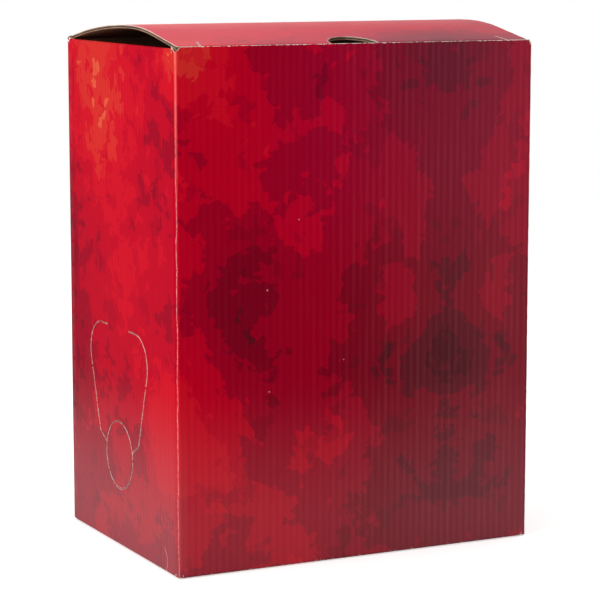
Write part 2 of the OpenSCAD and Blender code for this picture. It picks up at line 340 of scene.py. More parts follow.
def make_mesh(name, verts, faces, kinds, sheet, cut=None):
    """The object, with its places on the printed sheet, its print's tone and its cut edges as attributes."""
    mesh = bpy.data.meshes.new(name)
    mesh.from_pydata([tuple(v) for v in verts * MM], [], faces)
    for material in SHEET_MATERIALS:
        mesh.materials.append(material)
    mesh.polygons.foreach_set("material_index", kinds)
    mesh.polygons.foreach_set("use_smooth", [True] * len(faces))
    layer = mesh.attributes.new("sheet", "FLOAT_VECTOR", "POINT")
    padded = np.pad(sheet, ((0, 0), (0, 3 - sheet.shape[1])))
    layer.data.foreach_set("vector", padded.astype(np.float32).ravel())
    cut = np.zeros(len(verts)) if cut is None else cut
    for attribute, values in (("tone", print_tone(sheet)), ("cut", cut)):
        layer = mesh.attributes.new(attribute, "FLOAT", "POINT")
        layer.data.foreach_set("value", values.astype(np.float32))
    mesh.set_sharp_from_angle(angle=math.radians(38))
    mesh.validate()
    obj = bpy.data.objects.new(name, mesh)
    bpy.context.scene.collection.objects.link(obj)
    return obj


# Materials

class Graph:
    """Short names for building a material's nodes."""

    def __init__(self, name):
        self.material = bpy.data.materials.new(name)
        self.material.use_nodes = True
        self.tree = self.material.node_tree
        self.shader = self.tree.nodes["Principled BSDF"]

    def add(self, kind, settings=None, **inputs):
        node = self.tree.nodes.new(kind)
        for key, value in (settings or {}).items():
            setattr(node, key, value)
        for key, value in inputs.items():
            self.plug(node.inputs[key.replace("_", " ")], value)
        return node

    def plug(self, socket, value):
        if isinstance(value, bpy.types.NodeSocket):
            self.tree.links.new(value, socket)
        elif socket.type == "RGBA" and len(value) == 3:
            socket.default_value = (*value, 1)
        else:
            socket.default_value = value

    def math(self, operation, *values):
        node = self.add("ShaderNodeMath", {"operation": operation})
        for socket, value in zip(node.inputs, values):
            self.plug(socket, value)
        return node.outputs[0]

    def vector(self, operation, *values):
        node = self.add("ShaderNodeVectorMath", {"operation": operation})
        for socket, value in zip(node.inputs, values):
            self.plug(socket, value)
        return node.outputs["Value" if operation == "LENGTH" else "Vector"]

    def sheet(self):
        return self.add("ShaderNodeAttribute", {"attribute_name": "sheet"}).outputs["Vector"]

    def weight(self, name):
        return self.add("ShaderNodeAttribute", {"attribute_name": name}).outputs["Fac"]

    def place(self):
        return self.add("ShaderNodeTexCoord").outputs["Object"]

    def noise(self, vector, scale, detail, roughness):
        node = self.add("ShaderNodeTexNoise", Vector=vector, Scale=scale, Detail=detail, Roughness=roughness)
        return node.outputs["Fac"]

    def cells(self, vector, scale):
        return self.add("ShaderNodeTexVoronoi", Vector=vector, Scale=scale).outputs["Position"]

    def spread(self, value, low, high, to_low=0.0, to_high=1.0):
        node = self.add("ShaderNodeMapRange", {"interpolation_type": "SMOOTHSTEP"})
        for socket, item in zip(node.inputs, (value, low, high, to_low, to_high)):
            self.plug(socket, item)
        return node.outputs[0]

    def mix(self, factor, a, b):
        node = self.add("ShaderNodeMix", {"data_type": "RGBA"})
        self.plug(node.inputs["Factor"], factor)
        self.plug(node.inputs["A"], a)
        self.plug(node.inputs["B"], b)
        return node.outputs["Result"]

    def ramp(self, value, stops):
        node = self.add("ShaderNodeValToRGB", Fac=value)
        elements = node.color_ramp.elements
        while len(elements) < len(stops):
            elements.new(0.5)
        for element, (place, colour) in zip(elements, stops):
            element.position = place
            element.color = (*colour, 1)
        return node.outputs["Color"]

    def bump(self, height, strength, distance):
        node = self.add("ShaderNodeBump", Height=height, Strength=strength, Distance=distance)
        return node.outputs["Normal"]


def linear(r, g, b):
    """A colour written in 0 to 255 sRGB, as linear light."""
    return tuple((c / 255 / 12.92) if c <= 10 else ((c / 255 + 0.055) / 1.055) ** 2.4 for c in (r, g, b))


# Soft fields of tone laid on the printed sheet: name, station, height, half width, half height
# and change of tone
TONE_FIELDS = (
    ("left wall, orange glow", -92, 232, 72, 76, 0.46),
    ("left wall, glow along the fold", -22, 238, 30, 50, 0.12),
    ("left wall, red middle", -56, 140, 90, 90, 0.23),
    ("left wall, shade at the rear", -130, 100, 30, 60, -0.06),
    ("left wall, foot", -60, 36, 90, 50, 0.10),
    ("left wall, bright foot by the fold", -18, 62, 26, 34, 0.22),
    ("front, top left corner", 4, 238, 30, 34, 0.30),
    ("front, left column", 26, 204, 54, 66, 0.14),
    ("front, dark left cloud", 36, 118, 36, 46, -0.12),
    ("front, bright flank", 2, 74, 44, 44, 0.30),
    ("front, warm foot", 40, 30, 62, 50, 0.16),
    ("front, upper middle", 72, 180, 40, 70, 0.06),
    ("front, dark top band", 141, 240, 62, 34, -0.24),
    ("front, dark stem", 144, 150, 26, 84, -0.20),
    ("front, right edge", 184, 190, 24, 70, 0.06),
    ("front, dark cloud", 141, 92, 62, 26, -0.30),
    ("front, dark foot", 146, 34, 66, 50, -0.24),
    ("right wall", 255, 120, 80, 160, -0.06),
    ("right wall, light crown", 262, 226, 60, 50, 0.20),
    ("back wall, left", 350, 150, 70, 120, 0.14),
    ("back wall, right", 460, 90, 90, 90, 0.20),
    ("lid, left", 50, 316, 126, 84, 0.50),
    ("lid, right", 176, 316, 90, 84, 0.26),
)
BASE_TONE = 0.42
SCUFFS = ((45.7, 132.7, 0.5), (62.1, 164.9, 0.35), (46.6, 84.7, 0.4), (85.8, 97.0, 0.35))
SCRATCH_CENTRE = (-19.5, 5.6)
SCRATCH_RADIUS = 7.4
TONE_STEP = 0.15
MIRROR_LINE = 141.0


def print_tone(sheet):
    """Soft tone of the print at places on the sheet."""
    tone = np.full(len(sheet), BASE_TONE)
    for _, station, height, half_s, half_v, change in TONE_FIELDS:
        away = np.hypot((sheet[:, 0] - station) / half_s, (sheet[:, 1] - height) / half_v)
        fall = np.clip((1.15 - away) / 1.0, 0, 1)
        tone += change * fall * fall * (3 - 2 * fall)
    return tone


def leaf_places(g, place):
    """Places gathered into leaf-edged patches: small lobes, and clumps that are made of them."""
    def wander(scale, reach):
        noise = g.add("ShaderNodeTexNoise", Vector=place, Scale=scale, Detail=2.0, Roughness=0.6)
        centred = g.vector("SUBTRACT", noise.outputs["Color"], (0.5, 0.5, 0.5))
        return g.vector("MULTIPLY", centred, (reach, reach, 0))
    bent = g.vector("ADD", g.vector("ADD", place, wander(0.09, 14.0)), wander(0.55, 2.6))
    lobes = g.cells(bent, 1 / 3.6)
    clumps = g.cells(lobes, 1 / 15.0)
    return lobes, clumps


def printed_liner():
    """Mottled red print on the outer liner, with its varnish, worn folds and flute marks, and painted sheen,
    reflection and shade.
    """
    g = Graph("printed_liner")
    sheet = g.sheet()
    parts = g.add("ShaderNodeSeparateXYZ", Vector=sheet)
    station, height = parts.outputs[0], parts.outputs[1]
    soft, cut = g.weight("tone"), g.weight("cut")

    # The mottling mirrors about a line of the front wall, and starts anew on the right wall
    past_mirror = g.math("MAXIMUM", g.math("SUBTRACT", station, MIRROR_LINE), 0.0)
    past_front = g.math("GREATER_THAN", station, RIGHT_START - FOLD_ARC / 2)
    across = g.math("SUBTRACT", station, g.math("MULTIPLY", past_mirror, 2.0))
    across = g.math("ADD", across, g.math("MULTIPLY", past_front, 700.0))
    place = g.add("ShaderNodeCombineXYZ", X=across, Y=height).outputs[0]

    # Flat leaf-edged patches in even steps of tone
    lobes, clumps = leaf_places(g, place)
    large = g.math("SUBTRACT", g.noise(clumps, 0.026, 1.0, 0.5), 0.5)
    small = g.math("SUBTRACT", g.noise(lobes, 0.09, 1.0, 0.5), 0.5)
    reach = g.spread(g.math("ABSOLUTE", g.math("SUBTRACT", station, 44)), 30, 70, 0.60, 0.42)
    large = g.math("MULTIPLY", large, reach)
    busy = g.math("MULTIPLY", g.spread(station, -12, 4), -1.0)
    busy = g.math("MULTIPLY", g.math("ADD", busy, 1.0), g.spread(height, 110, 200, 0.10, 0.42))
    small = g.math("MULTIPLY", small, g.math("ADD", busy, 0.18))
    broken = g.math("ADD", soft, g.math("ADD", large, small))
    steps = g.math("MULTIPLY", g.math("ROUND", g.math("DIVIDE", broken, TONE_STEP)), TONE_STEP)
    tone = g.math("ADD", g.math("MULTIPLY", steps, 0.88), g.math("MULTIPLY", soft, 0.12))
    shard = g.noise(g.vector("ADD", lobes, (310, 90, 0)), 0.05, 1.0, 0.5)
    tone = g.math("SUBTRACT", tone, g.spread(shard, 0.64, 0.645, 0.0, 0.07))
    tone = g.math("MINIMUM", tone, g.spread(height, 130, 190, 0.76, 1.05))
    colour = g.ramp(tone, (
        (0.00, linear(66, 12, 20)),
        (0.16, linear(88, 12, 26)),
        (0.32, linear(122, 2, 28)),
        (0.48, linear(152, 0, 32)),
        (0.64, linear(186, 0, 32)),
        (0.78, linear(196, 12, 34)),
        (0.90, linear(200, 42, 38)),
        (1.00, linear(210, 82, 56)),
    ))

    # Painted reflection and sheen: a paler, greyer foot stands in for the floor's reflection, a greyer right
    # side for the varnish's sheen, and a rosy lid for its sheen at a grazing angle
    foot = g.math("MULTIPLY", g.spread(height, 14, 92, 1.0, 0.0), g.spread(station, -8, 8, 0.32, 0.13))
    colour = g.mix(foot, colour, linear(170, 124, 128))
    colour = g.mix(g.spread(station, 70, 190, 0.0, 0.09), colour, linear(190, 120, 128))
    cool = g.math("MULTIPLY", g.spread(height, 120, 200, 0.0, 0.12), g.spread(station, 20, 90))
    colour = g.mix(cool, colour, linear(160, 20, 80))
    on_lid = g.spread(height, RIM_Z - 0.5, RIM_Z + 1.5)
    painted_lid_sheen = g.math("MULTIPLY", on_lid, g.spread(station, 20, 160, 0.26, 0.05))
    colour = g.mix(painted_lid_sheen, colour, linear(255, 106, 126))

    # Flute marks: lighter crests that are partly a change of ink density and partly painted sheen, and darker
    # troughs that are partly ink and partly painted shade, stronger to the right and at the foot
    flute = g.math("COSINE", g.math("MULTIPLY", station, 2 * math.pi / FLUTE_PITCH))
    grain = g.noise(g.vector("MULTIPLY", sheet, (0.28, 0.02, 0)), 1.0, 2.0, 0.6)
    on_wall = g.math("SUBTRACT", 1.0, g.math("MULTIPLY", on_lid, 0.85))
    painted_sheen_and_ink_streak = g.math("MULTIPLY", g.spread(flute, -0.6, 1.0), g.spread(grain, 0.36, 0.66, 0.25, 1.0))
    painted_sheen_and_ink_streak = g.math("MULTIPLY", painted_sheen_and_ink_streak, on_wall)
    strength = g.math("ADD", g.spread(station, 50, 130, 0.0, 0.04), g.spread(height, 10, 110, 0.035, 0.01))
    colour = g.mix(g.math("MULTIPLY", painted_sheen_and_ink_streak, strength), colour, (0.60, 0.18, 0.22))
    painted_shade_and_ink_trough = g.math("MULTIPLY", g.spread(flute, -0.2, -0.9), g.spread(grain, 0.30, 0.60, 1.0, 0.3))
    painted_shade_and_ink_trough = g.math("MULTIPLY", g.math("MULTIPLY", painted_shade_and_ink_trough, on_wall), g.spread(station, -6, 90, 0.10, 0.05))
    colour = g.mix(g.math("MULTIPLY", painted_shade_and_ink_trough, g.spread(height, 60, 190, 1.0, 0.5)), colour, (0.05, 0.0, 0.01))
    fine = g.noise(sheet, 2.2, 2.0, 0.7)
    colour = g.mix(g.spread(fine, 0.35, 0.65, 0.0, 0.07), colour, (0.02, 0.0, 0.0))

    # Wear on the corner folds: a paler band, and a thin crack that wanders along it
    side, last = station, 0.0
    for corner in CORNERS[1:]:
        passed = g.math("GREATER_THAN", station, (last + corner) / 2)
        side = g.math("SUBTRACT", side, g.math("MULTIPLY", passed, corner - last))
        last = corner
    off = g.math("ABSOLUTE", side)
    slow = g.noise(g.vector("MULTIPLY", sheet, (0.2, 0.05, 0)), 1.0, 3.0, 0.6)
    band = g.math("MULTIPLY", g.spread(off, 0.2, 1.0, 0.62, 0.0), g.spread(slow, 0.30, 0.62, 0.45, 1.0))
    band = g.math("MULTIPLY", band, g.spread(height, 150, 240, 0.1, 1.0))
    colour = g.mix(band, colour, linear(246, 118, 110))
    quick = g.noise(sheet, 0.5, 3.0, 0.7)
    wander = g.math("ADD", g.math("MULTIPLY", quick, 0.8), g.math("MULTIPLY", slow, 2.4))
    crack = g.math("ABSOLUTE", g.math("ADD", side, g.math("SUBTRACT", wander, 1.6)))
    crack = g.math("MULTIPLY", g.spread(crack, 0.04, 0.18, 1.0, 0.0), g.spread(quick, 0.40, 0.58, 0.25, 0.9))
    crack = g.math("MULTIPLY", crack, g.spread(height, 170, 225, 0.8, 0.2))
    colour = g.mix(crack, colour, linear(240, 196, 190))
    hem = g.spread(g.math("ABSOLUTE", g.math("SUBTRACT", height, 0.6)), 0.2, 0.7, 0.8, 0.0)
    colour = g.mix(g.math("MULTIPLY", hem, g.spread(quick, 0.56, 0.64)), colour, linear(226, 170, 164))

    # Bare paper where the knife frayed the liner, and small scuffs
    ragged = g.math("ADD", g.noise(sheet, 1.1, 2.0, 0.7), g.math("MULTIPLY", quick, 0.8))
    ragged = g.math("MULTIPLY", g.math("SUBTRACT", ragged, 0.9), 2.2)
    ragged = g.math("ADD", ragged, g.spread(height, RIM_Z - 1.2, RIM_Z - 0.4, 0.0, 0.2))
    on_back = g.math("GREATER_THAN", station, BACK_START)
    back_crease = g.math("MULTIPLY", on_back, g.math("GREATER_THAN", height, 200.0))
    torn = g.spread(g.math("ADD", cut, ragged), 0.86, 1.02, 0.0, 0.95)
    torn = g.math("MULTIPLY", torn, g.math("SUBTRACT", 1.0, back_crease))
    colour = g.mix(torn, colour, linear(250, 236, 228))
    for s, v, size in SCUFFS:
        spot = g.vector("LENGTH", g.vector("SUBTRACT", sheet, (s, v, 0)))
        colour = g.mix(g.spread(spot, 0.5 * size, size, 0.6, 0.0), colour, linear(236, 190, 186))
    scratch = g.vector("LENGTH", g.vector("SUBTRACT", sheet, (*SCRATCH_CENTRE, 0)))
    scratch = g.math("ABSOLUTE", g.math("SUBTRACT", scratch, SCRATCH_RADIUS))
    scratch = g.spread(scratch, 0.06, 0.34, 0.6, 0.0)
    scratch = g.math("MULTIPLY", scratch, g.spread(height, 11.0, 12.5, 1.0, 0.0))
    past_centre = g.math("GREATER_THAN", station, SCRATCH_CENTRE[0])
    near = g.math("MULTIPLY", past_centre, g.math("LESS_THAN", station, -2.0))
    colour = g.mix(g.math("MULTIPLY", scratch, near), colour, linear(238, 176, 176))

    g.plug(g.shader.inputs["Base Color"], colour)
    g.shader.inputs["Roughness"].default_value = 0.4
    g.plug(g.shader.inputs["Specular IOR Level"], g.math("ADD", g.math("MULTIPLY", on_lid, 0.05), 0.006))
    orange_peel = g.noise(g.vector("MULTIPLY", sheet, (1.0, 0.5, 1.0)), 1.6, 2.0, 0.6)
    g.plug(g.shader.inputs["Normal"], g.bump(orange_peel, 0.25, 0.00004))
    return g.material


def bare_liner(name, colour, dark):
    """Uncoated kraft paper with fibres."""
    g = Graph(name)
    sheet = g.place()
    cloud = g.noise(sheet, 60.0, 4.0, 0.6)
    fibre = g.noise(g.vector("MULTIPLY", sheet, (900, 900, 260)), 1.0, 3.0, 0.7)
    tint = g.mix(g.spread(cloud, 0.3, 0.7), linear(*colour), linear(*dark))
    tint = g.mix(g.spread(fibre, 0.52, 0.72, 0.0, 0.35), tint, linear(*dark))
    g.plug(g.shader.inputs["Base Color"], tint)
    g.shader.inputs["Roughness"].default_value = 0.85
    g.plug(g.shader.inputs["Normal"], g.bump(fibre, 0.4, 0.00006))
    return g.material


SHEET_MATERIALS = [
    printed_liner(),
    # Inner kraft, made darker than the paper is as painted shade for the inside of the closed carton
    bare_liner("kraft_inside_with_painted_shade", (134, 100, 70), (116, 84, 58)),
    bare_liner("white_liner_edge", (238, 226, 214), (206, 178, 162)),
    bare_liner("fluting_edge", (146, 112, 88), (108, 78, 58)),
    bare_liner("kraft_liner_edge", (176, 140, 114), (136, 102, 80)),
    # Dark brown painted shade for the recess floors beside the fluting
    bare_liner("painted_recess_shade", (70, 50, 38), (48, 34, 26)),
]


# Carton

def wall_frame(station):
    """Outer points and normals of the four walls, with their corner folds, at stations along the sheet."""
    x, y = np.zeros_like(station), np.zeros_like(station)
    nx, ny = np.zeros_like(station), np.zeros_like(station)
    walls = (
        (LEFT_START, 2 * FLAT_Y, (-HALF_W, FLAT_Y), (0, -1), (-1, 0)),
        (FRONT_START, 2 * FLAT_X, (-FLAT_X, -HALF_D), (1, 0), (0, -1)),
        (RIGHT_START, 2 * FLAT_Y, (HALF_W, -FLAT_Y), (0, 1), (1, 0)),
        (BACK_START, 2 * FLAT_X, (FLAT_X, HALF_D), (-1, 0), (0, 1)),
    )
    for begin, length, corner, way, normal in walls:
        t = station - begin
        mine = (t >= -FOLD_ARC / 2 - 1e-6) & (t <= length + FOLD_ARC / 2 + 1e-6)
        along = np.clip(t, 0, length)
        turn = (t - along) / FOLD_OUT
        turned_x = normal[0] * np.cos(turn) - normal[1] * np.sin(turn)
        turned_y = normal[0] * np.sin(turn) + normal[1] * np.cos(turn)
        px = corner[0] + way[0] * along - normal[0] * FOLD_OUT + turned_x * FOLD_OUT
        py = corner[1] + way[1] * along - normal[1] * FOLD_OUT + turned_y * FOLD_OUT
        x, y = np.where(mine, px, x), np.where(mine, py, y)
        nx, ny = np.where(mine, turned_x, nx), np.where(mine, turned_y, ny)
    return x, y, nx, ny


def at_corner(station):
    """True on the strips between the bottom flaps."""
    result = np.zeros(len(station), bool)
    for corner in (SEAM_LOW, *CORNERS, SEAM_HIGH):
        result |= np.abs(station - corner) < FOLD_ARC / 2 + CORNER_OPEN - 0.75 * SLIT
    return result


def place_on_carton(flat):
    """Outer points and normals of the folded sheet at its flat places."""
    station, height = flat[:, 0], flat[:, 1]
    x, y, nx, ny = wall_frame(station)
    points = np.stack([x, y, height], 1)
    normals = np.stack([nx, ny, np.zeros_like(nx)], 1)
    side = np.abs(nx) > 0.999
    dust = side & (np.abs(y) < HALF_D - COLUMN) & (height > TOP_Z - FOLD_OUT)
    flaps = (height < FOLD_OUT) & ~at_corner(station)
    for folded, up, arc in ((dust, 1, DUST_ARC), (flaps, -1, FOLD_ARC)):
        start = TOP_Z - FOLD_OUT if up > 0 else FOLD_OUT
        past = (height - start) * up
        turn = np.clip(past, 0, arc) / FOLD_OUT
        flat_run = np.maximum(past - arc, 0)
        centre = points - normals * FOLD_OUT
        centre[:, 2] = start
        upward = np.array([0, 0, up])
        bent = normals * np.cos(turn)[:, None] + upward * np.sin(turn)[:, None]
        ahead = upward * np.cos(turn)[:, None] - normals * np.sin(turn)[:, None]
        moved = centre + bent * FOLD_OUT + ahead * flat_run[:, None]
        if up < 0:
            moved[:, 2] += bottom_rise(station, flat_run, side)
        points = np.where(folded[:, None], moved, points)
        normals = np.where(folded[:, None], bent, normals)
    return points, normals


def bottom_rise(station, run, side):
    """Height of a bottom flap over the ground: the short flaps and the locking tongues lie on other plies."""
    short = np.interp(run, (BOARD, BOARD + PLY_RAMP), (0, BOARD))
    wide_start = np.where(station < RIGHT_START, FRONT_START, BACK_START)
    across = station - wide_start - FLAT_X
    lock_start = FLAT_Y - SEAM_STEP - PLY_RAMP
    lock = np.interp(run, (lock_start, lock_start + PLY_RAMP), (0, BOARD + PLY_GAP))
    tongue = (across > SEAM_SLANT + SLIT) & (across < LOCK_WIDTH + SLIT / 2)
    return np.where(side, short, np.where(tongue, lock, 0.0))


def carton_outline():
    """The blank without its lid, anticlockwise from the seam's lower end."""
    foot = FOLD_OUT - FOLD_ARC
    half_run = FLAT_Y - CORNER_OPEN
    outline = []

    def bottom_flap(middle, fold, shape):
        """A bottom flap between its slits; shape has places across and reaches below the fold."""
        slit = [(-fold - SLIT, CORNER_FOOT), (-fold - SLIT, FOLD_OUT), (-fold, FOLD_OUT)]
        flap = slit + [(x, foot - reach) for x, reach in shape] + [(-x, z) for x, z in slit[::-1]]
        return [(middle + x, z) for x, z in flap]

    def long_flap(start):
        fold = FLAT_X - CORNER_OPEN
        left, right = -HALF_W + END_CUT, HALF_W - END_CUT
        gap = SEAM_GAP / 2
        near, far = FLAT_Y - SEAM_STEP, FLAT_Y + SEAM_STEP
        root, tip = near - PLY_RAMP, FLAT_Y + LOCK_REACH
        shape = [(-fold, 0), (left, 0), (left + SEAM_STEP, far - gap), (-SEAM_SLANT, far - gap),
                 (SEAM_SLANT, near - gap), (SEAM_SLANT, root), (SEAM_SLANT + 2 * SLIT, root),
                 (SEAM_SLANT + 2 * SLIT, far), (2 * SEAM_SLANT, tip), (LOCK_WIDTH - LOCK_REACH / 2, tip),
                 (LOCK_WIDTH, far), (LOCK_WIDTH, root), (LOCK_WIDTH + SLIT, root),
                 (LOCK_WIDTH + SLIT, near - gap), (right - SEAM_STEP, near - gap), (right, 0), (fold, 0)]
        return bottom_flap(start + FLAT_X, fold, shape)

    def short_flap(start):
        reach = MINOR_LENGTH - FOLD_OUT
        shape = [(-half_run, 0), (BOARD - half_run, END_CUT), (SEAM_STEP, reach),
                 (half_run - 2 * PLY_RAMP, reach), (half_run - PLY_RAMP, reach - PLY_RAMP),
                 (half_run - 1, PLY_RAMP), (half_run, 0)]
        return bottom_flap(start + FLAT_Y, half_run, shape)

    outline += [(SEAM_LOW, CORNER_FOOT)]
    outline += short_flap(LEFT_START)
    outline += long_flap(FRONT_START)
    outline += short_flap(RIGHT_START)
    outline += long_flap(BACK_START)
    outline += [(SEAM_HIGH, CORNER_FOOT)]

    # Top edge, from the seam's upper end back to the left
    column_y = HALF_D - COLUMN
    rear_top = BACK_TOP_Z - BOARD / 2
    fold_z = TOP_Z - FOLD_OUT

    def dust_flap(start, turn):
        """turn is 1 where the station grows to the back, and -1 where it grows to the front."""
        def at(y):
            return start + FLAT_Y + turn * y
        run = DUST_LENGTH - FOLD_OUT
        level, base = fold_z + FOLD_ARC, fold_z + DUST_ARC
        rear = polar((DUST_REAR - DUST_TAPER - DUST_ROUND, run - DUST_ROUND), DUST_ROUND, 5, 90)
        front = polar((DUST_FRONT + DUST_TAPER + DUST_ROUND, run - DUST_ROUND), DUST_ROUND, 90, 175)
        flap = [(DUST_REAR, 0)] + rear + front + [(DUST_FRONT, 0)]
        shape = [(at(column_y + SLIT), rear_top), (at(column_y + SLIT), fold_z), (at(column_y), fold_z),
                 (at(column_y), level), (at(DUST_REAR), level)]
        shape += [(at(y), base + t) for y, t in flap]
        shape += [(at(DUST_FRONT), level), (at(-column_y), level), (at(-column_y), fold_z),
                  (at(-column_y - SLIT), fold_z), (at(-column_y - SLIT), RIM_Z - 0.1)]
        return shape if turn > 0 else shape[::-1]

    v_half = COLUMN - SLIT - FOLD_OUT + FOLD_ARC / 2
    back_end = SEAM_HIGH - FOLD_ARC / 2
    outline += [(SEAM_HIGH, rear_top), (back_end, rear_top), (back_end, BACK_TOP_Z),
                (BACK_START, BACK_TOP_Z), (BACK_START, rear_top)]
    outline += dust_flap(RIGHT_START, 1)
    front_right = RIGHT_START - FOLD_ARC / 2
    outline += [(front_right, RIM_Z - V_DEPTH), (front_right - v_half, RIM_Z)]
    outline += [(v_half, RIM_Z), (0, RIM_Z - V_DEPTH)]
    outline += dust_flap(LEFT_START, -1)
    outline += [(SEAM_LOW, rear_top)]
    return outline


def ribbon(line, width):
    """Closed outline of a narrow cut along an open line."""
    line = [np.array(p) for p in line]
    left, right = [], []
    for i, p in enumerate(line):
        way = line[min(i + 1, len(line) - 1)] - line[max(i - 1, 0)]
        way = way / np.linalg.norm(way)
        off = np.array([-way[1], way[0]]) * width / 2
        left.append(tuple(p + off))
        right.append(tuple(p - off))
    return left + right[::-1]


def split_line(line, gaps):
    """Pieces of a line between the gaps, which are (distance from, distance to) along it."""
    line = np.array(line)
    reach = np.concatenate([[0], np.cumsum(np.linalg.norm(np.diff(line, axis=0), axis=1))])
    ends = [0.0] + [d for gap in gaps for d in gap] + [reach[-1]]
    pieces = []
    for a, b in zip(ends[::2], ends[1::2]):
        marks = [a] + [d for d in reach if a + 0.05 < d < b - 0.05] + [b]
        pieces.append([(np.interp(d, reach, line[:, 0]), np.interp(d, reach, line[:, 1])) for d in marks])
    return pieces


def port_lines():
    """Open lines of the tap port's cuts, across and up from the disc's centre."""
    lines = []
    corner = (TONGUE_WIDTH / 2 - TONGUE_ROUND, TONGUE_TOP - TONGUE_ROUND)
    curve = polar(corner, TONGUE_ROUND, 90, -TONGUE_SLANT, 14)
    low = curve[-1]
    neck = (TONGUE_NECK / 2, low[1] - (low[0] - TONGUE_NECK / 2) / math.tan(math.radians(TONGUE_SLANT)))
    joint = polar((0, 0), DISC_R + CUT / 2 + 0.12, NECK_ANGLE, NECK_ANGLE, 1)[0]
    side = [(TONGUE_FOLD / 2, TONGUE_TOP)] + curve + [neck, joint]
    points = np.array(side)
    reach = np.concatenate([[0], np.cumsum(np.linalg.norm(np.diff(points, axis=0), axis=1))])
    gaps = []
    for share in sorted(TIE_HEIGHTS, reverse=True):
        at = np.interp(-share * TONGUE_TOP, -points[3:, 1], reach[3:])
        gaps.append((at - TIE / 2, at + TIE / 2))
    for piece in split_line(side, gaps):
        lines.append(piece)
        lines.append([(-a, b) for a, b in piece])
    half_tie = math.degrees(TIE / 2 / DISC_R)
    for a, b in zip(TIE_ANGLES, TIE_ANGLES[1:] + (TIE_ANGLES[0] + 360,)):
        lines.append(polar((0, 0), DISC_R, a + half_tie, b - half_tie, 16))
    return lines


def on_left_wall(line):
    """A line about the disc's centre, laid on the sheet."""
    return [(LEFT_START + FLAT_Y - PORT_Y - a, PORT_Z + b) for a, b in line]


def flute_lattice(s_low, s_high, v_low, v_high, row):
    """Points on the flutes' crests, troughs and flanks."""
    step = FLUTE_PITCH / 4
    s = np.arange(math.ceil(s_low / step), math.floor(s_high / step) + 1) * step
    v = np.arange(v_low + row / 2, v_high, row)
    return np.stack(np.meshgrid(s, v), -1).reshape(-1, 2)


def fold_lattice():
    """Closer points over the rounded folds."""
    points = []
    for corner in CORNERS:
        s = corner + np.linspace(-0.75, 0.75, 7) * FOLD_ARC
        v = np.concatenate([[1.2], np.arange(FOLD_OUT + 0.5, RIM_Z, 2.5)])
        points.append(np.stack(np.meshgrid(s, v), -1).reshape(-1, 2))
    for start, arc in ((FOLD_OUT - FOLD_ARC, FOLD_ARC), (TOP_Z - FOLD_OUT, DUST_ARC)):
        s = np.arange(SEAM_LOW, SEAM_HIGH, FLUTE_PITCH / 2)
        v = start + np.linspace(0, 1, 7) * arc
        points.append(np.stack(np.meshgrid(s, v), -1).reshape(-1, 2))
    return np.concatenate(points)


def carton_lattice():
    """Points on the flutes, and closer ones over the folds."""
    coarse = flute_lattice(SEAM_LOW, SEAM_HIGH, -90, 320, CARTON_ROW)
    near_corner = np.zeros(len(coarse), bool)
    for corner in CORNERS:
        near_corner |= np.abs(coarse[:, 0] - corner) < 0.9 * FOLD_ARC
    near_fold = (coarse[:, 1] < FOLD_OUT + 0.6) & (coarse[:, 1] > FOLD_OUT - FOLD_ARC - 0.6)
    near_fold |= (coarse[:, 1] > TOP_Z - FOLD_OUT - 0.6) & (coarse[:, 1] < TOP_Z - FOLD_OUT + DUST_ARC + 0.6)
    upright = (coarse[:, 1] > 0) & (coarse[:, 1] < RIM_Z)
    return np.concatenate([coarse[~(near_corner & upright) & ~near_fold], fold_lattice()])


def carton_relief(flat):
    """Slow waves of the panels and small dents along the worn folds."""
    s, v = flat[:, 0], flat[:, 1]
    slow = 0.06 * np.sin(s / 31 + 1) * np.sin(v / 44 + 0.5) + 0.04 * np.sin(s / 17 + v / 23)
    wall = np.clip(np.minimum(v - FOLD_OUT, TOP_Z - FOLD_OUT - v) / 20, 0, 1)
    worn = np.zeros_like(s)
    for corner in CORNERS:
        near = np.exp(-((s - corner) / 1.6) ** 2)
        worn += near * (0.05 * np.sin(v * 1.9 + 2 * np.sin(v / 7)) * np.sin(v / 13 + corner) - 0.05)
    return slow * wall + worn * np.clip((v - FOLD_OUT) / 4, 0, 1) * np.clip((TOP_Z - v) / 4, 0, 1)


def on_seam(flat):
    """True on the two ends of the sheet that meet at the glued corner."""
    return (flat[:, 0] < SEAM_LOW + 1e-3) | (flat[:, 0] > SEAM_HIGH - 1e-3)


cuts = [ribbon(on_left_wall(line), CUT) for line in port_lines()]
carton_blank = cut_blank(carton_outline(), cuts, carton_lattice(), CARTON_EDGE)
sheet_carton = fold_up("carton_sheet", carton_blank, place_on_carton, lambda flat: flat,
                       on_seam, carton_relief)
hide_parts("carton")
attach(sheet_carton, "carton")


# Lid

def bow(y):
    """Height of the bowed lid's middle ply over the hinge."""
    back = LID_RISE * (1 - ((y - CROWN_Y) / (hinge.y - CROWN_Y)) ** 2)
    middle = LID_RISE - RAMP_SLOPE * (CROWN_Y - y) ** 2 / (2 * (CROWN_Y - RAMP_Y))
    front = RAMP_SLOPE * (y - CREASE_Y)
    return np.where(y > CROWN_Y, back, np.where(y > RAMP_Y, middle, front))


